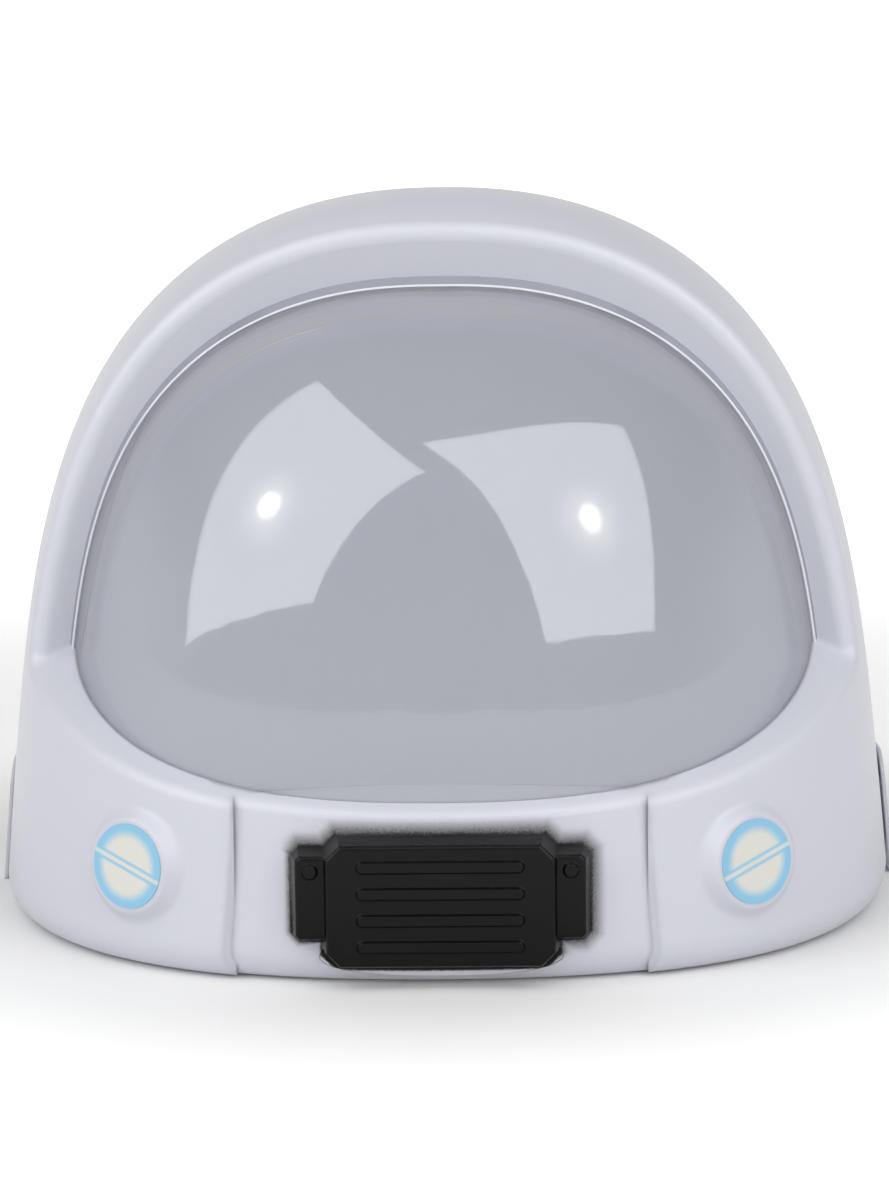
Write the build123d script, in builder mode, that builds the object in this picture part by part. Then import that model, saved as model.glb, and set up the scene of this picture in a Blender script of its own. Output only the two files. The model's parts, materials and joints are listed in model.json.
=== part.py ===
"""Costume astronaut helmet: two thin formed shells, a clear bubble visor and its small parts.

The helmet stands on its collar, faces -Y, and its crown is at +Z. The front shell carries the
hood, the collar and the visor. The rear shell laps over the front shell's rear margin, is held
there by hook and loop patches, and pulls off straight back along +Y.
"""
import os
from math import cos, hypot, pi, radians, sin, tan

from build123d import *

os.makedirs("parts", exist_ok=True)

# Outer form: plan outlines are superellipses, and one side profile serves width and depth
base_half_width = 147.4
crown_height = 232.4
side_draft = 5.2
depth_share = 0.912
plan_exponent = 2.35
crown_exponent = 4.24
crown_root = 2.2

# Both shells
wall = 1.5
rear_wall = 1.2
base_radius = 10.0
base_lip = 15.0

# Face opening: a sloping ledge on the collar and the hood's ridge behind it
hood_setback = 46.0
ledge_front_height = 53.0
ledge_angle = 19.5
ridge_radius = 4.0
corner_radius = 3.0

# Funnel from the hood's ridge down to the seat of the visor
funnel_depth = 12.0
mouth_spread = 5.5
seat_side_margin = 1.8
seat_top_margin = 3.6
arch_spring_height = 66.0

# Visor bubble, which also gives the outline of the face opening
bubble_half_width = 128.0
bubble_height = 208.2
bubble_draft = 2.9
bubble_depth_share = 0.972
bubble_exponent = 2.5
visor_wall = 1.0
visor_clearance = 0.6
flange_overhang = 2.5
tape_thickness = 0.5
tape_margin = 0.2
tape_width = 1.6

# Recessed panel in the middle of the collar
recess_depth = 2.5
recess_half_width = 64.0
recess_step = 3.5
recess_run_share = 4.0

# Round bosses with their printed discs
boss_offset = 96.0
boss_centre_height = 33.5
boss_top_radius = 14.8
boss_base_radius = 17.6
boss_rise = 3.4
boss_edge_radius = 1.0
boss_foot_radius = 2.0
decal_radius = 13.3
decal_thickness = 0.4
adhesive_gap = 0.05

# Moulded vent block
vent_width = 70.0
vent_height = 38.0
vent_centre_height = 27.0
vent_rise = 7.3
vent_corner = 7.0
vent_draft = 14.0
vent_edge_radius = 1.4
ear_reach = 44.5
ear_height = 26.0
ear_centre_height = 29.0
ear_drop = 3.2
ear_corner = 3.5
knob_radius = 2.6
knob_rise = 1.2
knob_inset = 4.4
rib_count = 4
rib_length = 52.0
rib_width = 4.2
rib_pitch = 8.4
rib_rise = 1.1
rib_draft = 30.0

# Lap between the shells, and the patches in it
lap_gap = 1.6
seam_crown_setback = 56.0
seam_base_setback = 31.0
lap_length = 24.0
tab_reach = 26.0
tab_height = 41.0
tab_corner = 9.0
patch_thickness = 0.55
side_patch_length = 24.0
side_patch_height = 22.0
side_patch_bottom = 10.0
side_patch_start = 10.0
crown_patch_width = 30.0
crown_patch_length = 14.0

# Foam pads, glued inside the crown where the visor does not show them
pad_thickness = 8.0
pad_gap = 0.3
brow_pad_width = 96.0
brow_pad_length = 24.0
brow_pad_start = -25.0
crown_pad_radius = 30.0
crown_pad_setback = 38.0

# Shares of a form's height at which its sections lie, and points around one section
station_shares = (0.1, 0.2, 0.32, 0.45, 0.58, 0.7, 0.8, 0.88, 0.94, 0.98, 0.9965)
points_around = 16
overrun = 4.0
reach = 2 * base_half_width
height_step = 0.01

# Half width, height, draft, depth share and plan exponent of each form
helmet_form = (base_half_width, crown_height, side_draft, depth_share, plan_exponent)
visor_form = (bubble_half_width, bubble_height, bubble_draft, bubble_depth_share, bubble_exponent)


def signed_power(value, exponent):
    """Raise the size of a signed value to a power and keep its sign."""
    return abs(value) ** exponent * (1 if value >= 0 else -1)


def side_profile(z, half_width, height, draft):
    """Half width at height z and its slope: a drafted wall that closes over at the crown."""
    share = z / height
    closing = (1 - share ** crown_exponent) ** (1 / crown_root)
    turning = closing ** (1 - crown_root) * share ** (crown_exponent - 1)
    drafted = half_width - tan(radians(draft)) * z
    bend = drafted * turning * crown_exponent / (crown_root * height)
    return drafted * closing, -tan(radians(draft)) * closing - bend


def outline_face(half_width, half_depth, exponent, z):
    """Horizontal superellipse, as a face."""
    turns = [2 * pi * i / points_around for i in range(points_around)]
    points = [
        (
            -half_width * signed_power(sin(turn), 2 / exponent),
            half_depth * signed_power(cos(turn), 2 / exponent),
        )
        for turn in turns
    ]
    with BuildSketch(Plane.XY.offset(z)) as outline:
        with BuildLine():
            Spline(*points, periodic=True)
        make_face()
    return outline.sketch


def grown(form, widen, heighten):
    """A form made wider and higher by the given lengths."""
    half_width, height, *shape = form
    return half_width + widen, height + heighten, *shape


def half_width_at(form, y, z):
    """Half width of a form where it crosses the plane at y, at height z."""
    half_width, height, draft, depth, exponent = form
    width = side_profile(z, half_width, height, draft)[0]
    share = min(abs(y) / (depth * width), 1)
    return width * (1 - share ** exponent) ** (1 / exponent)


def height_over(form, x, y):
    """Height of a form's surface over the point x, y, by halving steps."""
    half_width, height, draft, depth, exponent = form
    low, high = 0, height
    while high - low > height_step:
        middle = (low + high) / 2
        width = side_profile(middle, half_width, height, draft)[0]
        if (abs(x) / width) ** exponent + (abs(y) / (depth * width)) ** exponent < 1:
            low = middle
        else:
            high = middle
    return low


def bowl(form, inset, floor=0.0):
    """Closed solid under a form's surface, moved inwards by inset along its normals."""
    half_width, height, draft, depth, exponent = form
    width, slope = side_profile(floor, half_width, height, draft)
    sections = [outline_face(width - inset, depth * width - inset, exponent, floor)]
    for share in station_shares:
        z = share * height
        width, slope = side_profile(z, half_width, height, draft)
        out = inset / hypot(1, slope)
        up = -slope * out
        sections.append(outline_face(width - out, depth * width - out, exponent, z - up))
    with BuildPart() as solid:
        loft(sections=[*sections, Vertex(0, 0, height - inset)])
    return solid.part


def dome(inset, floor=0.0):
    """Helmet form, moved inwards by inset."""
    return bowl(helmet_form, inset, floor)


def bubble(inset):
    """Visor form, moved inwards by inset."""
    return bowl(visor_form, inset)


def front_depth(z):
    """Distance of the collar's outer surface in front of the centre, at height z."""
    return depth_share * side_profile(z, base_half_width, crown_height, side_draft)[0]


def ledge_height(y, drop=0.0):
    """Height of the ledge at y, or of the plane at the given distance under it."""
    climb = tan(radians(ledge_angle)) * (y + front_depth(ledge_front_height))
    return ledge_front_height + climb - drop / cos(radians(ledge_angle))


def face_space(skin, back):
    """Space before the face: above the plane skin under the ledge, in front of y = back."""
    with BuildPart() as space:
        with BuildSketch(Plane.YZ):
            with BuildLine():
                Polyline(
                    (back, ledge_height(back, skin)),
                    (-reach, ledge_height(-reach, skin)),
                    (-reach, reach),
                    (back, reach),
                    close=True,
                )
            make_face()
        extrude(amount=reach, both=True)
    return space.part


def arch_face(form, y, place):
    """A form's outline at y, over straight legs, drawn in the plane at y = place."""
    top = height_over(form, 0, y)
    right = []
    for i in range(points_around // 2):
        rise = sin(pi * i / points_around)
        z = arch_spring_height + (top - arch_spring_height) * rise
        right.append((half_width_at(form, y, z), z))
    left = [(-x, z) for x, z in reversed(right)]
    with BuildSketch(Plane.XZ.offset(-place)) as arch:
        with BuildLine():
            Spline(*right, (0, top), *left)
            Polyline(left[-1], (left[-1][0], 0), (right[0][0], 0), right[0])
        make_face()
    return arch.sketch


seat_plane = funnel_depth - hood_setback


def funnel(skin):
    """Space that narrows from outside the hood's ridge down to the visor's seat."""
    mouth = grown(helmet_form, mouth_spread + skin, mouth_spread + skin)
    seat = grown(visor_form, seat_side_margin + skin, seat_top_margin + skin)
    with BuildPart() as space:
        loft(
            sections=[
                arch_face(mouth, -hood_setback, -hood_setback - overrun),
                arch_face(seat, seat_plane, seat_plane + skin),
            ]
        )
        add(face_space(skin, reach), mode=Mode.INTERSECT)
    return space.part


def face_form(skin, recess=0.0):
    """Solid helmet with the face cut away, skin inside the outer surface."""
    with BuildPart() as form:
        add(dome(skin + recess, skin))
        fillet(form.edges().group_by(Axis.Z)[0], base_radius - skin)
        add(face_space(skin, -hood_setback - overrun / 2), mode=Mode.SUBTRACT)
        add(funnel(skin), mode=Mode.SUBTRACT)
        ledge = form.faces().filter_by(GeomType.PLANE).sort_by(Axis.Z)[1]
        pillar_feet = ledge.edges().filter_by(GeomType.BSPLINE).sort_by(Axis.Y)[-2:]
        fillet(pillar_feet, corner_radius + skin)
        rim = [
            edge
            for edge in form.faces().sort_by(SortBy.AREA)[-1].edges()
            if edge.center().Y < -hood_setback / 2 and edge.center().Z > ledge_front_height / 2
        ]
        fillet(rim, ridge_radius - skin)
    return form.part


def collar_plane(x, z):
    """Plane on the collar's outer surface at x and height z, facing outwards."""
    width, slope = side_profile(z, base_half_width, crown_height, side_draft)
    depth = depth_share * width
    y = -depth * (1 - (abs(x) / width) ** plan_exponent) ** (1 / plan_exponent)
    normal = Vector(
        signed_power(x, plan_exponent - 1) / width ** plan_exponent,
        signed_power(y, plan_exponent - 1) / depth ** plan_exponent,
        -slope / width,
    )
    return Plane(origin=(x, y, z), x_dir=Vector(0, 0, 1).cross(normal), z_dir=normal)


def recess_space(skin):
    """Space over the recessed panel, with slanted steps at both sides."""
    width = side_profile(ledge_front_height / 2, base_half_width, crown_height, side_draft)[0]
    share = (1 - (recess_half_width / width) ** plan_exponent) ** (1 / plan_exponent)
    floor = share * depth_share * width - recess_depth
    right = [
        (recess_half_width, -hood_setback),
        (recess_half_width, -floor),
        (recess_half_width + recess_run_share * recess_step, -floor - recess_run_share * recess_depth),
    ]
    left = [(-x, y) for x, y in reversed(right)]
    with BuildPart() as space:
        with BuildSketch():
            with BuildLine():
                Polyline(*right, *left, close=True)
            make_face()
            if skin:
                offset(amount=skin, kind=Kind.INTERSECTION)
        extrude(amount=reach)
        add(face_form(skin, recess_depth), mode=Mode.SUBTRACT)
    return space.part


def boss(skin):
    """Round raised seat for a printed disc, along +Z from the surface of the collar."""
    spread = (boss_base_radius - boss_top_radius) / boss_rise
    thinner = skin * hypot(1, spread)
    root = 2 * overrun
    with BuildPart() as seat:
        with Locations((0, 0, -root)):
            Cone(
                bottom_radius=boss_base_radius + spread * root - thinner,
                top_radius=boss_base_radius - spread * (boss_rise - skin) - thinner,
                height=boss_rise - skin + root,
                align=(Align.CENTER, Align.CENTER, Align.MIN),
            )
        if not skin:
            fillet(seat.edges().sort_by(Axis.Z)[-1], boss_edge_radius)
    return seat.part


boss_planes = {"left": collar_plane(-boss_offset, boss_centre_height),
               "right": collar_plane(boss_offset, boss_centre_height)}
vent_face_depth = front_depth(vent_centre_height) - recess_depth + vent_rise
ear_share = (ear_reach / base_half_width) ** plan_exponent
vent_root_depth = front_depth(vent_centre_height) * (1 - ear_share) - recess_depth - overrun


def vent_plate(width, height, centre_height, corner, face_depth, skin):
    """Drafted plate of the vent block, from inside the collar out to its flat face."""
    depth = face_depth - vent_root_depth
    grow = depth * tan(radians(vent_draft)) - skin / cos(radians(vent_draft))
    with BuildPart() as plate:
        with BuildSketch(Plane.XZ.offset(vent_root_depth)) as outline:
            with Locations((0, centre_height)):
                Rectangle(width + 2 * grow, height + 2 * grow)
            chamfer(outline.vertices(), corner)
        extrude(amount=depth - skin, taper=vent_draft)
        if not skin:
            fillet(plate.faces().sort_by(Axis.Y)[0].edges(), vent_edge_radius)
    return plate.part


def vent_block(skin):
    """Vent block: a main plate with a lower ear at each side."""
    with BuildPart() as block:
        add(vent_plate(vent_width, vent_height, vent_centre_height, vent_corner, vent_face_depth, skin))
        add(vent_plate(2 * ear_reach, ear_height, ear_centre_height, ear_corner,
                       vent_face_depth - ear_drop, skin))
    return block.part


def helmet_solid(skin):
    """Solid inside the front shell's surface moved inwards by skin, before the openings."""
    with BuildPart() as solid:
        add(face_form(skin))
        add(recess_space(skin), mode=Mode.SUBTRACT)
        for plane in boss_planes.values():
            with Locations(plane.location):
                add(boss(skin))
        flanks = solid.faces().filter_by(GeomType.CONE)
        fillet([flank.edges().filter_by(GeomType.BSPLINE)[0] for flank in flanks], boss_foot_radius + skin)
        add(vent_block(skin))
    return solid.part


def side_cut(points, corners=(), corner=0.0):
    """Solid as wide as the helmet, from an outline in side view given as (y, z) points."""
    with BuildPart() as cut:
        with BuildSketch(Plane.YZ) as side:
            with BuildLine():
                Polyline(*points, close=True)
            make_face()
            for place in corners:
                fillet(side.vertices().sort_by_distance(place)[0], corner)
        extrude(amount=reach, both=True)
    return cut.part


def seam_setback(z):
    """Distance behind the centre of the rear shell's front edge, at height z."""
    return seam_base_setback + (seam_crown_setback - seam_base_setback) * z / crown_height


def form_skin(outer_inset, inner_inset):
    """Layer between two offsets of the helmet form, closed at the crown and open below."""
    with BuildPart() as skin:
        add(dome(outer_inset))
        add(dome(inner_inset), mode=Mode.SUBTRACT)
    return skin.part


shell_outer = helmet_solid(0.0)
shell_inner = helmet_solid(wall)
face_hole_form = bubble(0.0)
face_hole_space = face_space(wall + overrun, seat_plane + wall + overrun)
rear_margin = side_cut(
    [
        (seam_setback(0) + lap_length, -overrun),
        (seam_setback(crown_height) + lap_length, crown_height + overrun),
        (reach, crown_height + overrun),
        (reach, -overrun),
    ]
)

with BuildPart() as face_hole:
    add(face_hole_form)
    add(face_hole_space, mode=Mode.INTERSECT)

with BuildPart() as front_shell:
    add(shell_outer)
    add(shell_inner, mode=Mode.SUBTRACT)
    add(face_hole.part, mode=Mode.SUBTRACT)
    add(outline_face(base_half_width - base_lip, depth_share * base_half_width - base_lip,
                     plan_exponent, 0.0))
    extrude(amount=wall + overrun, mode=Mode.SUBTRACT)
    add(rear_margin, mode=Mode.SUBTRACT)
    with BuildSketch(Plane.XZ.offset(vent_face_depth)):
        with Locations((0, vent_centre_height)):
            with GridLocations(0, rib_pitch, 1, rib_count):
                SlotOverall(rib_length, rib_width)
    extrude(amount=rib_rise, taper=rib_draft)
    with BuildSketch(Plane.XZ.offset(vent_face_depth - ear_drop)):
        with Locations((0, ear_centre_height + ear_height / 2 - knob_inset)):
            with GridLocations(2 * (ear_reach - knob_inset), 0, 2, 1):
                Circle(knob_radius)
    extrude(amount=knob_rise, taper=rib_draft)

# The rear shell: a grown dome behind the seam, with a tab low down at each side
tab_front = seam_setback(0) - tab_reach
with BuildPart() as rear_shell:
    add(form_skin(-lap_gap - rear_wall, -lap_gap))
    add(
        side_cut(
            [
                (tab_front, -overrun),
                (tab_front, tab_height),
                (seam_setback(tab_height), tab_height),
                (seam_setback(crown_height), crown_height + lap_gap + overrun),
                (reach, crown_height + lap_gap + overrun),
                (reach, -overrun),
            ],
            [(tab_front, tab_height), (seam_setback(tab_height), tab_height)],
            tab_corner,
        ),
        mode=Mode.INTERSECT,
    )

# The visor: a bubble with a flange that is taped behind the ledge and the hood's seat
flange_drop = wall + tape_thickness
bubble_space = face_space(flange_drop + visor_wall, seat_plane + flange_drop + visor_wall)
flange_front = face_space(flange_drop, seat_plane + flange_drop)
tape_front = face_space(wall, seat_plane + wall)
with BuildPart() as visor:
    add(bubble(-flange_overhang))
    add(flange_front, mode=Mode.SUBTRACT)
    add(bubble(visor_clearance))
    add(bubble_space, mode=Mode.INTERSECT)
    add(bubble(visor_clearance + visor_wall), mode=Mode.SUBTRACT)

# Double-sided tape between the shell and the visor's flange
with BuildPart() as tape_ring:
    add(bubble(-tape_margin - tape_width))
    add(bubble(-tape_margin), mode=Mode.SUBTRACT)
    add(flange_front, mode=Mode.INTERSECT)
    add(tape_front, mode=Mode.SUBTRACT)
tape_turn = ledge_height(seat_plane, -tape_margin)
with BuildPart() as upper_visor_tape:
    add(tape_ring.part)
    split(bisect_by=Plane.XY.offset(tape_turn), keep=Keep.TOP)
with BuildPart() as lower_visor_tape:
    add(tape_ring.part)
    split(bisect_by=Plane.XY.offset(tape_turn - tape_margin), keep=Keep.BOTTOM)

decals = {}
for side, plane in boss_planes.items():
    with BuildPart() as decal:
        with BuildSketch(plane.offset(boss_rise + adhesive_gap)):
            Circle(decal_radius)
        extrude(amount=decal_thickness)
    decals[side] = decal

# Hook patches on the front shell's margin, loop patches on the rear shell, face to face
hook_skin = form_skin(-adhesive_gap - patch_thickness, -adhesive_gap)
loop_skin = form_skin(adhesive_gap - lap_gap, adhesive_gap + patch_thickness - lap_gap)
side_patch_middle = side_patch_start + side_patch_length / 2
crown_patch_middle = seam_setback(crown_height) + lap_length / 2
patches = {}
for kind, skin in (("hook", hook_skin), ("loop", loop_skin)):
    for side, turn in (("left", -1), ("right", 1)):
        with BuildPart() as patch:
            with Locations((turn * base_half_width, side_patch_middle, side_patch_bottom)):
                Box(base_half_width, side_patch_length, side_patch_height,
                    align=(Align.CENTER, Align.CENTER, Align.MIN))
            add(skin, mode=Mode.INTERSECT)
        patches[f"{side}_{kind}_patch"] = patch
    with BuildPart() as patch:
        with Locations((0, crown_patch_middle, crown_height / 2)):
            Box(crown_patch_width, crown_patch_length, crown_height,
                align=(Align.CENTER, Align.CENTER, Align.MIN))
        add(skin, mode=Mode.INTERSECT)
    patches[f"crown_{kind}_patch"] = patch

# Foam pads inside the crown: arched strips whose upper faces lie close under the shell
pad_lift = wall + pad_gap


def arched_strip(plane, points, length):
    """Pad of even thickness under an arc through three points, spread by length to both sides."""
    with BuildPart() as strip:
        with BuildSketch(plane):
            with BuildLine():
                ThreePointArc(*points)
                Line(points[-1], (points[-1][0], points[-1][1] - pad_thickness))
                ThreePointArc(*[(place, z - pad_thickness) for place, z in reversed(points)])
                Line((points[0][0], points[0][1] - pad_thickness), points[0])
            make_face()
        extrude(amount=length / 2, both=True)
    return strip.part


brow_points = [
    (x, height_over(helmet_form, x, brow_pad_start) - pad_lift)
    for x in (-brow_pad_width / 2, 0, brow_pad_width / 2)
]
with BuildPart() as brow_pad:
    add(arched_strip(Plane.XZ.offset(-brow_pad_start - brow_pad_length / 2), brow_points, brow_pad_length))

crown_points = [
    (y, height_over(helmet_form, crown_pad_radius, y) - pad_lift)
    for y in (crown_pad_setback - crown_pad_radius, crown_pad_setback, crown_pad_setback + crown_pad_radius)
]
with BuildPart() as crown_pad:
    with Locations((0, crown_pad_setback, crown_height / 2)):
        Cylinder(crown_pad_radius, crown_height, align=(Align.CENTER, Align.CENTER, Align.MIN))
    add(arched_strip(Plane.YZ, crown_points, 2 * crown_pad_radius), mode=Mode.INTERSECT)

nodes = {
    "front_shell": front_shell,
    "rear_shell": rear_shell,
    "visor": visor,
    "upper_visor_tape": upper_visor_tape,
    "lower_visor_tape": lower_visor_tape,
    "left_boss_decal": decals["left"],
    "right_boss_decal": decals["right"],
    **patches,
    "brow_pad": brow_pad,
    "crown_pad": crown_pad,
}
for name, node in nodes.items():
    node.part.label = name
    export_step(node.part, f"parts/{name}.step")
    size = node.part.bounding_box().size
    print(f"{name}: {size.X:.1f} x {size.Y:.1f} x {size.Z:.1f} mm, {node.part.volume / 1000:.2f} cm3")
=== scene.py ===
"""Looks of the costume astronaut helmet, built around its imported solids. Lengths are in metres."""

import json
from math import cos, exp, hypot, pi, radians, sin, sqrt, tan

import bpy
from mathutils import Matrix, Vector

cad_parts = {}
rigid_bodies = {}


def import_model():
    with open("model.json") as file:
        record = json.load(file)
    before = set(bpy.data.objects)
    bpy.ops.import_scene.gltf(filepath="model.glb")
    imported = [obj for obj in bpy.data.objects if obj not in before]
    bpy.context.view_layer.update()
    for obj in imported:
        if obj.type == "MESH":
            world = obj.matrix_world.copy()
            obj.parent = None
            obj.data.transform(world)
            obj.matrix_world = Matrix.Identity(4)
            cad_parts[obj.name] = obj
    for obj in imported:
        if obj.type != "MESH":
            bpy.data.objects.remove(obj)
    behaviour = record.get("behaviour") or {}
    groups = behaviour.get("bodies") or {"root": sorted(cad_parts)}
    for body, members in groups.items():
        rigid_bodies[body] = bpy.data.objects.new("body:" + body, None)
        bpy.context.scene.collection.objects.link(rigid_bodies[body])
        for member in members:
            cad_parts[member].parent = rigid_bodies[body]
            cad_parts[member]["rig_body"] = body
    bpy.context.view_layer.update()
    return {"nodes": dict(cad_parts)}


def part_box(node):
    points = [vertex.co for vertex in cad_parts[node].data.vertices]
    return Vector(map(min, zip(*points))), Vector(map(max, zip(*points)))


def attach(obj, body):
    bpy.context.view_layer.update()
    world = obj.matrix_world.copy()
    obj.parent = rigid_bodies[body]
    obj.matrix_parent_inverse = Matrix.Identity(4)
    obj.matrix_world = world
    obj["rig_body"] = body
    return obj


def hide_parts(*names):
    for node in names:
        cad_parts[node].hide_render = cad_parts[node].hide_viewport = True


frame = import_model()
nodes = frame["nodes"]
MM = 0.001

# Camera: the photograph's place and angle
IMAGE_LONG_SIDE = 1200
FOCAL_PIXELS = 4508
CAMERA_DISTANCE = 1.5
CAMERA_AZIMUTH = 1.0
CAMERA_ELEVATION = 11.2
CAMERA_ROLL = -0.7
CAMERA_TARGET = Vector((0, 0, 0.0957))

# Colours, as linear red, green and blue
SHELL_WHITE = (0.645, 0.655, 0.72)
VENT_BLACK = (0.003, 0.003, 0.0032)
OVERSPRAY_GREY = (0.045, 0.043, 0.042)
SPECK_GREY = (0.35, 0.35, 0.37)
SEAT_SHADE_GREY = (0.36, 0.375, 0.43)
DECAL_CREAM = (0.74, 0.735, 0.68)
DECAL_BLUE = (0.27, 0.57, 0.79)
VISOR_TINT = (0.84, 0.87, 0.98)
PURE_WHITE = (1.0, 1.0, 1.0)
BLACK = (0.0, 0.0, 0.0)
EDGE_HIGHLIGHT_WHITE = (0.9, 0.9, 0.93)
DUST_WHITE = (0.85, 0.86, 0.88)
TAPE_WHITE = (0.74, 0.75, 0.76)
HOOK_WHITE = (0.60, 0.61, 0.63)
LOOP_WHITE = (0.70, 0.71, 0.73)
FOAM_GREY = (0.33, 0.345, 0.37)
FOAM_KNIT_SHADE = (0.20, 0.21, 0.23)
FLOOR_WHITE = (0.93, 0.93, 0.93)

# Span that the values of a noise mostly fall in
NOISE_SPAN = (0.3, 0.7)

# White sheet: gloss, dark specks and orange peel
SHELL_IOR = 1.42
SHELL_ROUGHNESS = (0.32, 0.36)
SPECKS_PER_METRE = 60
SPECK_EDGE = (0.02, 0.012)
SPECK_STRENGTH = 0.3
PEEL_DEPTH = 0.003 * MM

# Rounding that the shading gives to edges: at the recess's steps, at the vent and elsewhere
EDGE_SOFTNESS = 1.6 * MM
STEP_SOFTNESS = 4.0 * MM
VENT_SOFTNESS = 0.5 * MM
STEP_PLACE = 64 * MM
STEP_REACH = (9 * MM, 6 * MM)
VENT_REACH = (47 * MM, 54 * MM)
BEVEL_SAMPLES = 6

# Painted vent block: outline of its main plate and ears
VENT_HALF_WIDTH = 35 * MM
VENT_HALF_HEIGHT = 19 * MM
VENT_CENTRE_HEIGHT = 27 * MM
VENT_CORNER = 3.5 * MM
EAR_HALF_WIDTH = 44.5 * MM
EAR_HALF_HEIGHT = 13 * MM
EAR_CENTRE_HEIGHT = 29 * MM
EAR_CORNER = 1.5 * MM

# Paint on the vent block: margin past the outline, ragged edge, and spans from bare to painted
PAINT_MARGIN = 2.0 * MM
PAINT_RAGGEDNESS = 0.7 * MM
PAINT_EDGE = (PAINT_MARGIN + 0.7 * MM, PAINT_MARGIN - 0.3 * MM)
PAINT_FACING = (0.05, -0.05)
PAINT_FORWARD = (-100 * MM, -104 * MM)
PAINT_ROUGHNESS_DROP = 0.09
PAINT_SPECULAR_DROP = 0.22
PAINT_GRAIN = 0.03 * MM
UNDERSIDE_TURN = (-0.8, -0.9)
UNDERSIDE_HEIGHT = (1.5 * MM, 2.5 * MM)
UNDERSIDE_ACROSS = (37 * MM, 36 * MM)
UNDERSIDE_FORWARD = (-124 * MM, -126 * MM)

# Overspray round the paint: widest above and on the right, narrow on the left, least below
OVERSPRAY_WIDTH = 3.6 * MM
OVERSPRAY_LEAST = 0.7 * MM
OVERSPRAY_ABOVE = (38 * MM, 46 * MM)
OVERSPRAY_RIGHT = (34 * MM, 44 * MM)
OVERSPRAY_LEFT = (-38 * MM, -44 * MM)
OVERSPRAY_LEFT_SHARE = 0.35
OVERSPRAY_FADE = (1.2, -0.15)

# Seat of the visor at the foot of the funnel: its plane, and the lower end and spans of a strip on
# it painted darker as painted shade
SEAT_PLANE = -34 * MM
SEAT_SHADE_BOTTOM = 66 * MM
SEAT_SHADE_FADE_HEIGHT = 4 * MM
SEAT_SHADE_EDGE = (1.2 * MM, 0.2 * MM)
SEAT_SHADE_FACING = (-0.8, -0.97)

# Visor: share that it covers of what lies behind, gloss, scratches, dust, and its rim band and
# raised line, painted paler as painted reflection and painted highlight
VISOR_COVER = 0.2
VISOR_IOR = 3.4
VISOR_ROUGHNESS = 0.035
VISOR_MARK_ROUGHNESS = 0.25
VISOR_WAVE_DEPTH = 0.12 * MM
SCRATCH_EDGE = (0.0025, 0.0)
DUST_PER_METRE = 160
DUST_EDGE = (0.035, 0.015)
VISOR_RIM_FRONT = -52 * MM
VISOR_RIM_REFLECTION_SHARE = 0.7
VISOR_LINE_EDGE = (1.1 * MM, 0.2 * MM)
VISOR_LINE_DEPTH = 0.25 * MM

# Outline of the face opening: the visor's form, and the bead along the sheet's cut edge
OPENING_HALF_WIDTH = 128.6 * MM
OPENING_HEIGHT = 208.8 * MM
OPENING_DRAFT = 2.9
OPENING_DEPTH_SHARE = 0.972
OPENING_EXPONENT = 2.5
CROWN_EXPONENT = 4.24
CROWN_ROOT = 2.2
CROWN_SEARCH_STEP = 0.05 * MM
BEAD_RADIUS = 0.35 * MM
BEAD_POINTS = 90
BEAD_BOTTOM = 84 * MM

# Printed discs: rim, and a slanting glint between two lines, in shares of the glint's half width
PRINT_IOR = 1.5
DECAL_RADIUS = 13.3 * MM
DECAL_RIM = 5.0 * MM
DECAL_RIM_SOLID = 1.4 * MM
GLINT_LEAN = 17.0
GLINT_HALF_WIDTH = 0.9 * MM
GLINT_STRENGTH = 0.8
LINE_OUTER_EDGE = (2.2 * GLINT_HALF_WIDTH, 1.5 * GLINT_HALF_WIDTH)
LINE_INNER_EDGE = (0.3 * GLINT_HALF_WIDTH, 0.8 * GLINT_HALF_WIDTH)
LINE_STRENGTH = 0.85
PRINT_DOTS_PER_METRE = 3800

# Cushions: they start smaller than their solids by the inset, and swell more towards the head
PAD_VOXEL = 2.0 * MM
PAD_INSET = 1.0 * MM
PAD_SWELL = 2.2 * MM
PAD_PRESSURE = 4.0
PAD_FRAMES = 20
KNIT_PITCH = 1.3 * MM
CHANNEL_DEPTH = 1.1 * MM
CHANNEL_HALF_WIDTH = 1.3 * MM
BROW_CHANNEL_PLACE = 16 * MM
CROWN_CHANNEL_RADIUS = 19 * MM

# Floor: its size, and spans in the distance from the helmet over which it glows
FLOOR_SIZE = 40
FLOOR_DROP = 0.2 * MM
FLOOR_NEAR = (0.15, 0.26)
FLOOR_NEAR_GLOW = 0.25
FLOOR_FAR = (0.3, 1.0)
FLOOR_FAR_GLOW = 0.8
FLOOR_MIRRORED = (0.12, 0.3)
FLOOR_MIRRORED_GLOW = (0.5, 1.0)

# Surroundings: strength near the horizon and overhead, and spans in the direction's Y and Z
WORLD_FRONT = 0.55
WORLD_BEHIND = 1.0
WORLD_OVERHEAD = 0.42
WORLD_TURN = (-0.6, 0.4)
WORLD_RISE = (0.03, 0.45)

# Softboxes: centre as azimuth, elevation and distance, the way they face, roll, width and height
SOFTBOXES = (
    ("left", (-34.5, 36, 1.58), (-90, 37), 21, 1.77, 1.57),
    ("right", (37, 30.3, 1.42), (30, 52), 0, 1.16, 1.52),
)
SOFTBOX_RADIANCE = 1.4
MIRRORED_RADIANCE = 2.2

# Hot spots in the softboxes' reflections: centre, and radiance of the glow and of its core
HOT_SPOTS = (("left", (-47.3, 33.5, 1.15)), ("right", (36.3, 31, 1.15)))
HOT_SPOT_SIZE = 0.5
HOT_SPOT_GLOW = 1.8
HOT_SPOT_GLOW_REACH = 0.5
HOT_SPOT_CORE = 9.0
HOT_SPOT_CORE_REACH = 0.2


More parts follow.
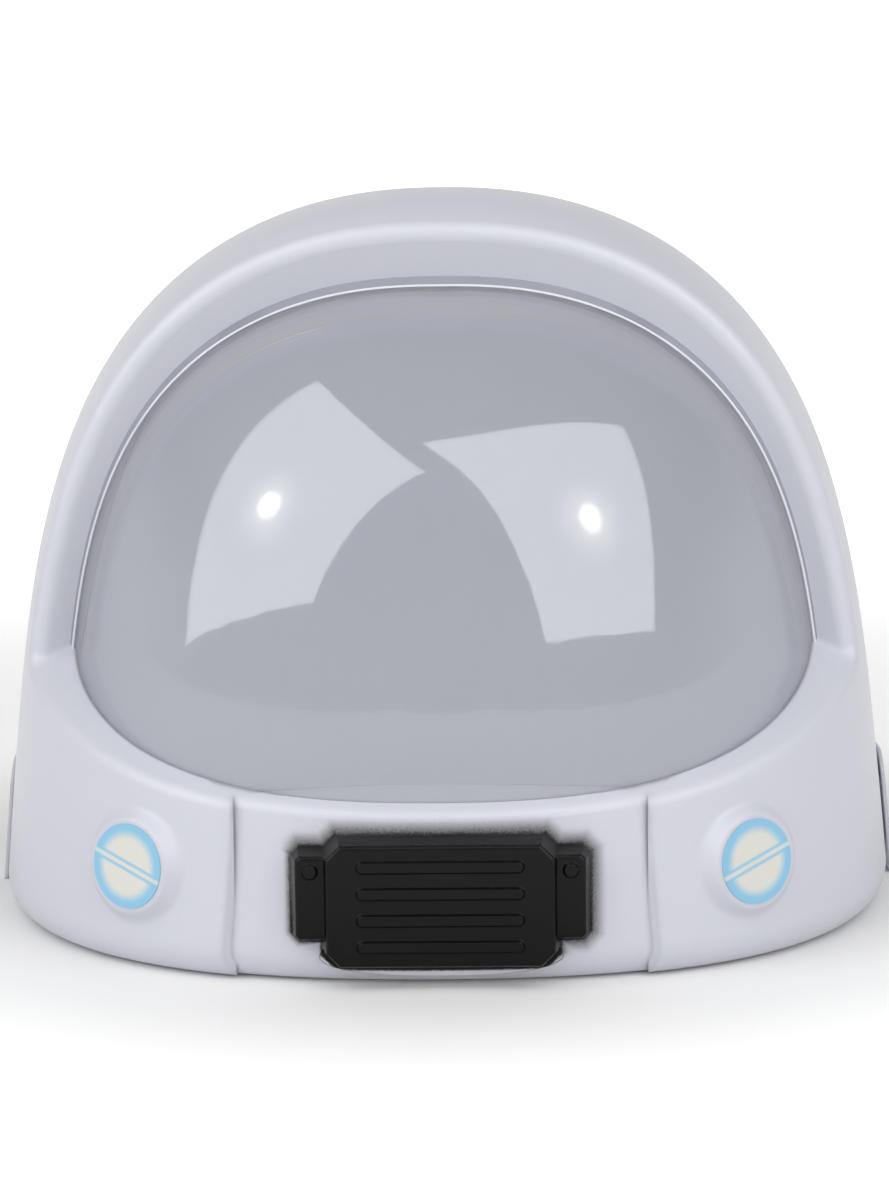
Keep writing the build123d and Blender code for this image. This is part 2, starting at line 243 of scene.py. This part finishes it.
class Tree:
    """A node tree, with short calls for the nodes that this scene repeats."""

    def __init__(self, tree):
        self.tree = tree

    def node(self, kind, inputs=(), **settings):
        """New node with its settings made and its inputs linked or filled in."""
        made = self.tree.nodes.new(kind)
        for key, value in settings.items():
            setattr(made, key, value)
        for key, value in dict(inputs).items():
            self.feed(made.inputs[key], value)
        return made

    def feed(self, socket, value):
        """Link an output to a socket, or set the socket's own value."""
        if isinstance(value, bpy.types.NodeSocket):
            self.tree.links.new(value, socket)
        elif socket.type == "RGBA":
            socket.default_value = (*value, 1)
        else:
            socket.default_value = value

    def math(self, operation, *values):
        return self.node("ShaderNodeMath", enumerate(values), operation=operation).outputs[0]

    def product(self, first, *others):
        for other in others:
            first = self.math("MULTIPLY", first, other)
        return first

    def away(self, value, place):
        """How far a value lies from a place, to either side."""
        return self.math("ABSOLUTE", self.math("SUBTRACT", value, place))

    def ramp(self, value, start, end, low=0.0, high=1.0):
        """Smooth change from low, where value is start, to high, where it is end."""
        inputs = {"Value": value, "From Min": start, "From Max": end, "To Min": low, "To Max": high}
        made = self.node("ShaderNodeMapRange", inputs, interpolation_type="SMOOTHSTEP")
        return made.outputs["Result"]

    def split(self, vector):
        """The three coordinates of a vector."""
        parts = self.node("ShaderNodeSeparateXYZ", {"Vector": vector})
        return parts.outputs["X"], parts.outputs["Y"], parts.outputs["Z"]


class Graph(Tree):
    """A material's node tree, around its Principled shader."""

    def __init__(self, name):
        self.material = bpy.data.materials.new(name)
        self.material.use_nodes = True
        super().__init__(self.material.node_tree)
        self.shader = self.tree.nodes["Principled BSDF"]
        self.place = self.node("ShaderNodeTexCoord").outputs["Object"]

    def set(self, **inputs):
        """Feed the shader's sockets, named with underscores for spaces."""
        for key, value in inputs.items():
            self.feed(self.shader.inputs[key.replace("_", " ")], value)

    def axes(self):
        return self.split(self.place)

    def noise(self, scale, detail=2.0, roughness=0.5):
        """Noise around 0.5, with scale features to a metre."""
        inputs = {"Vector": self.place, "Scale": scale, "Detail": detail, "Roughness": roughness}
        return self.node("ShaderNodeTexNoise", inputs).outputs["Fac"]

    def cells(self, scale):
        """Distance from the nearest of scattered points, about scale to a metre."""
        inputs = {"Vector": self.place, "Scale": scale}
        return self.node("ShaderNodeTexVoronoi", inputs).outputs["Distance"]

    def blend(self, share, low, high, blend_type="MIX"):
        """Colour from low to high."""
        mix = self.node("ShaderNodeMix", data_type="RGBA", blend_type=blend_type)
        self.feed(mix.inputs[0], share)
        self.feed(mix.inputs[6], low)
        self.feed(mix.inputs[7], high)
        return mix.outputs[2]

    def bump(self, height, depth, below=None):
        """Normal of a surface whose height varies by depth, on top of the bumps below."""
        inputs = {"Height": height, "Distance": depth, "Strength": 1.0}
        if below:
            inputs["Normal"] = below
        return self.node("ShaderNodeBump", inputs).outputs["Normal"]


def darker(colour, share):
    return tuple(channel * share for channel in colour)


def formed_sheet(graph):
    """Colour, roughness and normal of the white sheet: soft edges, faint orange peel, specks."""
    speck = graph.ramp(graph.cells(SPECKS_PER_METRE), *SPECK_EDGE, 0.0, SPECK_STRENGTH)
    colour = graph.blend(speck, SHELL_WHITE, SPECK_GREY)
    rough = graph.ramp(graph.noise(scale=60), *NOISE_SPAN, *SHELL_ROUGHNESS)
    across = graph.math("ABSOLUTE", graph.axes()[0])
    near_step = graph.ramp(graph.away(across, STEP_PLACE), *STEP_REACH,
                           EDGE_SOFTNESS, STEP_SOFTNESS)
    near_vent = graph.ramp(across, *VENT_REACH, VENT_SOFTNESS, STEP_SOFTNESS)
    radius = graph.math("MINIMUM", near_step, near_vent)
    soft_edges = graph.node("ShaderNodeBevel", {"Radius": radius}, samples=BEVEL_SAMPLES)
    peel = graph.bump(graph.noise(scale=420, detail=1), PEEL_DEPTH, soft_edges.outputs["Normal"])
    return colour, rough, peel


def shell_material():
    graph = Graph("shell_white")
    colour, rough, normal = formed_sheet(graph)
    graph.set(Base_Color=colour, Roughness=rough, Normal=normal, IOR=SHELL_IOR)
    return graph.material


def cut_corner_distance(graph, half_width, half_height, centre_height, corner):
    """Distance outside an upright rectangle with cut corners, on the front of the collar."""
    x, _, z = graph.axes()
    across = graph.math("ABSOLUTE", x)
    side = graph.math("SUBTRACT", across, half_width)
    top = graph.math("SUBTRACT", graph.away(z, centre_height), half_height)
    slant = graph.math("ADD", side, graph.math("ADD", top, corner))
    cut = graph.math("MULTIPLY", slant, sqrt(0.5))
    return graph.math("MAXIMUM", graph.math("MAXIMUM", side, top), cut)


def vent_paint(graph, facing, rising):
    """Shares of solid paint and of the mist round it, for a surface's facing and rising."""
    x, y, z = graph.axes()
    plate = cut_corner_distance(graph, VENT_HALF_WIDTH, VENT_HALF_HEIGHT,
                                VENT_CENTRE_HEIGHT, VENT_CORNER)
    ears = cut_corner_distance(graph, EAR_HALF_WIDTH, EAR_HALF_HEIGHT,
                               EAR_CENTRE_HEIGHT, EAR_CORNER)
    raggedness = graph.math("SUBTRACT", graph.noise(scale=900, detail=4), 0.5)
    edge = graph.math("ADD", graph.math("MINIMUM", plate, ears),
                      graph.math("MULTIPLY", raggedness, PAINT_RAGGEDNESS))
    front = graph.product(graph.ramp(facing, *PAINT_FACING), graph.ramp(y, *PAINT_FORWARD))
    underside = graph.product(graph.ramp(rising, *UNDERSIDE_TURN),
                              graph.ramp(z, *UNDERSIDE_HEIGHT),
                              graph.ramp(graph.math("ABSOLUTE", x), *UNDERSIDE_ACROSS),
                              graph.ramp(y, *UNDERSIDE_FORWARD))
    solid = graph.math("MAXIMUM", graph.product(graph.ramp(edge, *PAINT_EDGE), front), underside)

    left = graph.math("MULTIPLY", graph.ramp(x, *OVERSPRAY_LEFT), OVERSPRAY_LEFT_SHARE)
    top_or_right = graph.math("MAXIMUM", graph.ramp(z, *OVERSPRAY_ABOVE),
                              graph.ramp(x, *OVERSPRAY_RIGHT))
    reach = graph.math("MAXIMUM", top_or_right, left)
    width = graph.math("MULTIPLY_ADD", reach, OVERSPRAY_WIDTH, OVERSPRAY_LEAST)
    fade = graph.math("DIVIDE", graph.math("SUBTRACT", edge, PAINT_MARGIN), width)
    speckle = graph.ramp(graph.noise(scale=2600), 0.35, 0.65, 0.8, 1.0)
    mist = graph.product(graph.ramp(fade, *OVERSPRAY_FADE), speckle, front)
    return solid, mist


def front_shell_material():
    """White sheet with the vent block sprayed black, soft at the edge of the paint, and painted
    shade on the visor's seat.
    """
    graph = Graph("shell_white_with_painted_vent")
    colour, rough, normal = formed_sheet(graph)
    true_normal = graph.node("ShaderNodeNewGeometry").outputs["Normal"]
    _, facing, rising = graph.split(true_normal)
    solid, mist = vent_paint(graph, facing, rising)
    paint = graph.math("MAXIMUM", solid, mist)

    _, y, z = graph.axes()
    # Painted shade: the visor's seat is painted as a darker grey strip
    seat_shade = graph.product(graph.ramp(graph.away(y, SEAT_PLANE), *SEAT_SHADE_EDGE),
                         graph.ramp(facing, *SEAT_SHADE_FACING),
                         graph.ramp(z, SEAT_SHADE_BOTTOM, SEAT_SHADE_BOTTOM + SEAT_SHADE_FADE_HEIGHT))
    seat_shaded = graph.blend(seat_shade, colour, SEAT_SHADE_GREY)
    misted = graph.blend(mist, seat_shaded, OVERSPRAY_GREY)
    grain = graph.math("MULTIPLY", graph.noise(scale=1500), paint)
    graph.set(
        Base_Color=graph.blend(solid, misted, VENT_BLACK),
        Roughness=graph.math("MULTIPLY_ADD", paint, -PAINT_ROUGHNESS_DROP, rough),
        Normal=graph.bump(grain, PAINT_GRAIN, normal),
        Specular_IOR_Level=graph.math("MULTIPLY_ADD", solid, -PAINT_SPECULAR_DROP, 0.5),
        IOR=SHELL_IOR,
    )
    return graph.material


def visor_material():
    """Clear formed sheet: mostly see-through, glossy, with slow waves, fine scratches and dust, and
    a rim band and raised line painted paler as painted reflection and painted highlight.
    """
    graph = Graph("visor_clear")
    strokes = graph.node("ShaderNodeTexNoise", {"Vector": graph.place, "Scale": 55.0,
                                                "Detail": 3.0, "Distortion": 3.0})
    scratch = graph.ramp(graph.away(strokes.outputs["Fac"], 0.5), *SCRATCH_EDGE)
    dust = graph.ramp(graph.cells(DUST_PER_METRE), *DUST_EDGE)
    y = graph.axes()[1]
    # Painted reflection and highlight: a paler rim band, and a raised line at its front painted
    # paler still
    rim = graph.ramp(y, VISOR_RIM_FRONT, VISOR_RIM_FRONT + MM)
    line = graph.ramp(graph.away(y, VISOR_RIM_FRONT), *VISOR_LINE_EDGE)
    painted_reflection = graph.math("MAXIMUM", graph.math("MULTIPLY", rim, VISOR_RIM_REFLECTION_SHARE), line)
    tint_and_reflection = graph.blend(painted_reflection, VISOR_TINT, PURE_WHITE)
    marks = graph.math("MAXIMUM", scratch, dust)
    waves = graph.bump(graph.noise(scale=12, detail=1), VISOR_WAVE_DEPTH)
    graph.set(
        Base_Color=graph.blend(dust, tint_and_reflection, DUST_WHITE),
        Roughness=graph.math("MULTIPLY_ADD", marks, VISOR_MARK_ROUGHNESS, VISOR_ROUGHNESS),
        Normal=graph.bump(line, VISOR_LINE_DEPTH, waves),
        IOR=VISOR_IOR,
        Alpha=VISOR_COVER,
    )
    return graph.material


def decal_material(node):
    """Printed disc: cream centre, pale blue rim and a slanting glint between two blue lines."""
    low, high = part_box(node.name)
    centre = (low + high) / 2
    front_face = max(node.data.polygons, key=lambda face: face.area * face.normal.dot(centre))
    outward = front_face.normal
    level = outward.cross(Vector((0, 0, 1))).normalized()
    lean = radians(GLINT_LEAN) * (-1 if centre.x < 0 else 1)
    across_line = Matrix.Rotation(lean, 3, outward) @ outward.cross(level)

    graph = Graph(f"printed_disc_{node.name}")
    offset = graph.node("ShaderNodeVectorMath", {0: graph.place, 1: centre}, operation="SUBTRACT")
    radius = graph.node("ShaderNodeVectorMath", {0: offset.outputs[0]}, operation="LENGTH")
    along = graph.node("ShaderNodeVectorMath", {0: offset.outputs[0], 1: across_line},
                       operation="DOT_PRODUCT")
    from_line = graph.math("ABSOLUTE", along.outputs["Value"])
    rim = graph.ramp(radius.outputs["Value"], DECAL_RADIUS - DECAL_RIM,
                     DECAL_RADIUS - DECAL_RIM_SOLID)
    lines = graph.product(graph.ramp(from_line, *LINE_OUTER_EDGE),
                          graph.ramp(from_line, *LINE_INNER_EDGE), LINE_STRENGTH)
    glint = graph.math("MULTIPLY", graph.ramp(from_line, GLINT_HALF_WIDTH, 0.5 * GLINT_HALF_WIDTH),
                       GLINT_STRENGTH)
    ground = graph.blend(rim, DECAL_CREAM, DECAL_BLUE)
    lined = graph.blend(lines, ground, DECAL_BLUE)
    inked = graph.blend(glint, lined, DECAL_CREAM)
    dots = graph.ramp(graph.cells(PRINT_DOTS_PER_METRE), 0.2, 0.6, 0.97, 1.0)
    graph.set(Base_Color=graph.blend(1.0, inked, dots, blend_type="MULTIPLY"),
              Roughness=graph.ramp(graph.noise(scale=300), *NOISE_SPAN, 0.3, 0.4),
              Normal=graph.bump(graph.noise(scale=500), 0.01 * MM), IOR=PRINT_IOR)
    return graph.material


def tape_material():
    graph = Graph("double_sided_tape")
    fibres = graph.noise(scale=1400, detail=4, roughness=0.7)
    graph.set(Base_Color=graph.blend(fibres, darker(TAPE_WHITE, 0.9), TAPE_WHITE),
              Roughness=graph.ramp(fibres, *NOISE_SPAN, 0.45, 0.6),
              Normal=graph.bump(fibres, 0.02 * MM))
    return graph.material


def hook_material():
    """Short stiff hooks in close rows, with painted shade between them."""
    graph = Graph("hook_patch")
    hooks = graph.cells(1500)
    shade_between_hooks = graph.ramp(hooks, 0.1, 0.6)
    # Painted shade: darker away from the hooks, in the gaps between them
    graph.set(Base_Color=graph.blend(shade_between_hooks, HOOK_WHITE, darker(HOOK_WHITE, 0.7)),
              Roughness=graph.ramp(hooks, 0.1, 0.6, 0.45, 0.7),
              Normal=graph.bump(graph.ramp(hooks, 0.6, 0.1), 0.3 * MM))
    return graph.material


def loop_material():
    """Matted pile of fine loops, with painted shade where the pile is low."""
    graph = Graph("loop_patch")
    pile = graph.noise(scale=2200, detail=5, roughness=0.75)
    tips_against_shade = graph.ramp(pile, *NOISE_SPAN)
    # Painted shade: darker where the pile is low
    graph.set(Base_Color=graph.blend(tips_against_shade, darker(LOOP_WHITE, 0.8), LOOP_WHITE),
              Roughness=graph.ramp(pile, *NOISE_SPAN, 0.8, 0.95),
              Normal=graph.bump(pile, 0.35 * MM), Sheen_Weight=0.3)
    return graph.material


def foam_material():
    """Foam under a close knitted cover, with painted shade in the knit's low places."""
    graph = Graph("knitted_foam")
    x, y, _ = graph.axes()
    rows = graph.math("SINE", graph.math("MULTIPLY", x, 2 * pi / KNIT_PITCH))
    columns = graph.math("SINE", graph.math("MULTIPLY", y, 2 * pi / KNIT_PITCH))
    knit = graph.math("MULTIPLY_ADD", graph.math("MULTIPLY", rows, columns), 0.5, 0.5)
    fuzz = graph.noise(scale=1800, detail=4, roughness=0.7)
    height = graph.math("ADD", knit, fuzz)
    # Painted shade: darker where the knit and its fuzz are low
    graph.set(Base_Color=graph.blend(graph.ramp(height, 0.5, 1.3), FOAM_KNIT_SHADE, FOAM_GREY),
              Roughness=graph.ramp(fuzz, *NOISE_SPAN, 0.82, 0.95),
              Normal=graph.bump(height, 0.18 * MM), Sheen_Weight=0.25)
    return graph.material


def edge_material():
    """Cut edge of the white sheet, glossier than its face, and paler than it as a painted highlight.
    """
    graph = Graph("cut_edge_painted_highlight")
    grain = graph.noise(scale=900)
    # Painted highlight: the edge is given a paler white than the sheet
    graph.set(Base_Color=EDGE_HIGHLIGHT_WHITE, Roughness=graph.ramp(grain, *NOISE_SPAN, 0.29, 0.36),
              Normal=graph.bump(grain, 0.01 * MM), IOR=PRINT_IOR)
    return graph.material


def floor_material():
    """White floor: it keeps the helmet's shadow, and glows to plain white away from it.

    Mirrors see its glow alone, so that their reflections of it have no grain.
    """
    graph = Graph("floor_white")
    rays = graph.node("ShaderNodeLightPath").outputs
    seen = graph.math("MAXIMUM", rays["Is Camera Ray"], rays["Is Transmission Ray"])
    mirrored = rays["Is Glossy Ray"]
    x, y, _ = graph.axes()
    square = graph.math("MULTIPLY_ADD", x, x, graph.math("MULTIPLY", y, y))
    radius = graph.math("SQRT", square)
    near = graph.ramp(radius, *FLOOR_NEAR, 0.0, FLOOR_NEAR_GLOW)
    far = graph.ramp(radius, *FLOOR_FAR, 0.0, FLOOR_FAR_GLOW)
    in_sight = graph.math("MULTIPLY", seen, graph.math("ADD", near, far))
    in_mirrors = graph.math("MULTIPLY", mirrored,
                            graph.ramp(radius, *FLOOR_MIRRORED, *FLOOR_MIRRORED_GLOW))
    graph.set(Base_Color=graph.blend(mirrored, FLOOR_WHITE, BLACK),
              Roughness=graph.ramp(graph.noise(scale=40, detail=3), *NOISE_SPAN, 0.85, 0.95),
              Specular_IOR_Level=0.0, Emission_Color=PURE_WHITE,
              Emission_Strength=graph.math("ADD", in_sight, in_mirrors))
    return graph.material


def dress(node, material):
    """Give a solid its finish."""
    node.data.materials.clear()
    node.data.materials.append(material)


def shade_smooth(piece):
    for face in piece.data.polygons:
        face.use_smooth = True


def apply_modifiers(piece):
    bpy.context.view_layer.objects.active = piece
    for modifier in list(piece.modifiers):
        bpy.ops.object.modifier_apply(modifier=modifier.name)


def inflate(piece):
    """Blow the piece up as cloth, and cap how far its points move: less up, towards the shell."""
    start = [vertex.co.copy() for vertex in piece.data.vertices]
    upward = [vertex.normal.z > 0 for vertex in piece.data.vertices]
    cloth = piece.modifiers.new("cloth", "CLOTH")
    cloth.settings.use_pressure = True
    cloth.settings.uniform_pressure_force = PAD_PRESSURE
    cloth.settings.effector_weights.gravity = 0
    scene = bpy.context.scene
    for count in range(1, PAD_FRAMES + 1):
        scene.frame_set(count)
    apply_modifiers(piece)
    scene.frame_set(1)
    for vertex, place, is_upper in zip(piece.data.vertices, start, upward):
        moved = vertex.co - place
        limit = PAD_INSET if is_upper else PAD_SWELL
        if moved.length > limit:
            vertex.co = place + moved * (limit / moved.length)


def pad_piece(name, material, channels):
    """Padded cushion that stands for a plain pad solid, with sewn channels given as distances."""
    source = nodes[name]
    piece = source.copy()
    piece.data = source.data.copy()
    piece.name = f"{name}_cushion"
    bpy.context.scene.collection.objects.link(piece)
    piece.parent = None
    remesh = piece.modifiers.new("even_faces", "REMESH")
    remesh.mode = "VOXEL"
    remesh.voxel_size = PAD_VOXEL
    ease = piece.modifiers.new("soft_edges", "SMOOTH")
    ease.factor = 0.5
    ease.iterations = 6
    apply_modifiers(piece)
    for vertex in piece.data.vertices:
        vertex.co -= vertex.normal * PAD_INSET
    inflate(piece)
    subdivide = piece.modifiers.new("finer", "SUBSURF")
    subdivide.levels = 1
    apply_modifiers(piece)
    centre = sum(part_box(name), Vector()) / 2
    for vertex in piece.data.vertices:
        nearest = min(abs(distance) for distance in channels(vertex.co - centre))
        vertex.co -= vertex.normal * CHANNEL_DEPTH * exp(-(nearest / CHANNEL_HALF_WIDTH) ** 2)
    shade_smooth(piece)
    dress(piece, material)
    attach(piece, source["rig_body"])
    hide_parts(name)


def brow_channels(place):
    """Distances from the two cross channels of the brow cushion."""
    return place.x - BROW_CHANNEL_PLACE, place.x + BROW_CHANNEL_PLACE


def crown_channels(place):
    """Distances from the ring of the crown cushion, and from the seam across its inside."""
    from_ring = hypot(place.x, place.y) - CROWN_CHANNEL_RADIUS
    return from_ring, max(abs(place.x), from_ring)


def opening_half_width(height):
    """Half width of the face opening at the seat plane."""
    sloped = OPENING_HALF_WIDTH - height * tan(radians(OPENING_DRAFT))
    arch = max(1 - (height / OPENING_HEIGHT) ** CROWN_EXPONENT, 0) ** (1 / CROWN_ROOT)
    reach = sloped * arch
    share = abs(SEAT_PLANE) / max(OPENING_DEPTH_SHARE * reach, MM)
    return reach * max(1 - share ** OPENING_EXPONENT, 0) ** (1 / OPENING_EXPONENT)


def add_edge_bead(material):
    """Bead along the cut edge of the sheet, round the arch of the face opening, made bright by a
    painted highlight.
    """
    low, high = BEAD_BOTTOM, OPENING_HEIGHT
    while opening_half_width(high) == 0:
        high -= CROWN_SEARCH_STEP
    heights = [low + (high - low) * sin(pi / 2 * count / BEAD_POINTS)
               for count in range(BEAD_POINTS + 1)]
    right = [(opening_half_width(z) + BEAD_RADIUS, SEAT_PLANE, z) for z in heights]
    left = [(-x, y, z) for x, y, z in reversed(right)]
    curve = bpy.data.curves.new("opening_edge", "CURVE")
    curve.dimensions = "3D"
    curve.bevel_depth = BEAD_RADIUS
    line = curve.splines.new("POLY")
    line.points.add(len(right + left) - 1)
    for point, place in zip(line.points, right + left):
        point.co = (*place, 1)
    bead = bpy.data.objects.new("opening_edge", curve)
    bpy.context.scene.collection.objects.link(bead)
    bpy.ops.object.select_all(action="DESELECT")
    bead.select_set(True)
    bpy.context.view_layer.objects.active = bead
    bpy.ops.object.convert(target="MESH")
    shade_smooth(bead)
    dress(bead, material)
    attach(bead, nodes["front_shell"]["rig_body"])


def add_floor():
    bpy.ops.mesh.primitive_plane_add(size=FLOOR_SIZE, location=(0, 0, -FLOOR_DROP))
    floor = bpy.context.object
    floor.name = "floor"
    floor.data.materials.append(floor_material())


def direction(azimuth, elevation, distance=1.0):
    """Vector towards a place round the helmet: azimuth 0 is in front of it, at -Y."""
    turn, rise = radians(azimuth), radians(elevation)
    return Vector((sin(turn) * cos(rise), -cos(turn) * cos(rise), sin(rise))) * distance


def add_lamp(name, shape, centre, rotation, width, height, radiance):
    """Flat lamp round the helmet, at a place given from the camera's target."""
    data = bpy.data.lights.new(name, "AREA")
    data.shape = shape
    data.size = width
    data.size_y = height
    area = width * height * (1 if shape == "RECTANGLE" else pi / 4)
    data.energy = radiance * pi * area
    lamp = bpy.data.objects.new(name, data)
    bpy.context.scene.collection.objects.link(lamp)
    lamp.location = CAMERA_TARGET + centre
    lamp.rotation_mode = "QUATERNION"
    lamp.rotation_quaternion = rotation
    return lamp


def add_softbox(side, place, facing_angles, roll, width, height):
    """Rectangular lamp, in two: one for the light it gives, a brighter one for its reflection.

    The first lies just behind the second, since it would hide it at the same place.
    """
    centre, facing = direction(*place), direction(*facing_angles)
    turn = Matrix.Rotation(radians(roll), 4, "Z").to_quaternion()
    rotation = facing.to_track_quat("Z", "Y") @ turn
    behind = centre + facing * 2 * MM
    light = add_lamp(f"{side}_softbox", "RECTANGLE", behind, rotation, width, height,
                     SOFTBOX_RADIANCE)
    light.visible_glossy = False
    mirrored = add_lamp(f"{side}_softbox_mirrored", "RECTANGLE", centre, rotation, width, height,
                        MIRRORED_RADIANCE)
    mirrored.visible_diffuse = False


def add_hot_spot(side, place):
    """Bright middle of a softbox's reflection, fading to its rim."""
    centre = direction(*place)
    lamp = add_lamp(f"{side}_hot_spot", "DISK", centre, centre.to_track_quat("Z", "Y"),
                    HOT_SPOT_SIZE, HOT_SPOT_SIZE, 1.0)
    lamp.visible_diffuse = False
    lamp.data.use_nodes = True
    graph = Tree(lamp.data.node_tree)
    on_lamp = graph.node("ShaderNodeNewGeometry").outputs["Parametric"]
    from_middle = graph.node("ShaderNodeVectorMath", {0: on_lamp, 1: (0.5, 0.5, 0.0)},
                             operation="DISTANCE").outputs["Value"]
    glow = graph.ramp(from_middle, HOT_SPOT_GLOW_REACH, 0.0, 0.0, HOT_SPOT_GLOW)
    core = graph.ramp(from_middle, HOT_SPOT_CORE_REACH, 0.0, 0.0, HOT_SPOT_CORE)
    emission = graph.tree.nodes["Emission"]
    graph.feed(emission.inputs["Strength"], graph.math("ADD", glow, core))


def add_world():
    """Pale surroundings: brightest behind the helmet near the horizon, greyer elsewhere."""
    world = bpy.data.worlds.new("studio")
    bpy.context.scene.world = world
    world.use_nodes = True
    graph = Tree(world.node_tree)
    _, y, z = graph.split(graph.node("ShaderNodeTexCoord").outputs["Generated"])
    horizon = graph.ramp(y, *WORLD_TURN, WORLD_FRONT, WORLD_BEHIND)
    background = graph.tree.nodes["Background"]
    graph.feed(background.inputs["Strength"],
               graph.ramp(z, *WORLD_RISE, horizon, WORLD_OVERHEAD))
    graph.feed(background.inputs["Color"], PURE_WHITE)


def add_camera():
    data = bpy.data.cameras.new("camera")
    data.sensor_fit = "AUTO"
    data.lens = data.sensor_width * FOCAL_PIXELS / IMAGE_LONG_SIDE
    camera = bpy.data.objects.new("camera", data)
    bpy.context.scene.collection.objects.link(camera)
    towards = direction(CAMERA_AZIMUTH, CAMERA_ELEVATION)
    camera.location = CAMERA_TARGET + towards * CAMERA_DISTANCE
    camera.rotation_mode = "QUATERNION"
    upright = (-towards).to_track_quat("-Z", "Y")
    roll = Matrix.Rotation(radians(CAMERA_ROLL), 4, "Z").to_quaternion()
    camera.rotation_quaternion = upright @ roll
    bpy.context.scene.camera = camera


shell = shell_material()
foam = foam_material()
hook = hook_material()
loop = loop_material()
tape = tape_material()
dress(nodes["front_shell"], front_shell_material())
dress(nodes["rear_shell"], shell)
dress(nodes["visor"], visor_material())
for side in ("upper", "lower"):
    dress(nodes[f"{side}_visor_tape"], tape)
for side in ("left", "right"):
    dress(nodes[f"{side}_boss_decal"], decal_material(nodes[f"{side}_boss_decal"]))
for side in ("left", "right", "crown"):
    dress(nodes[f"{side}_hook_patch"], hook)
    dress(nodes[f"{side}_loop_patch"], loop)
add_edge_bead(edge_material())
pad_piece("brow_pad", foam, brow_channels)
pad_piece("crown_pad", foam, crown_channels)

# The clear sheet would shade what lies behind it as if it were far less clear.
nodes["visor"].visible_shadow = False

add_floor()
add_world()
for softbox in SOFTBOXES:
    add_softbox(*softbox)
for hot_spot in HOT_SPOTS:
    add_hot_spot(*hot_spot)
add_camera()
bpy.context.scene.view_settings.view_transform = "Standard"
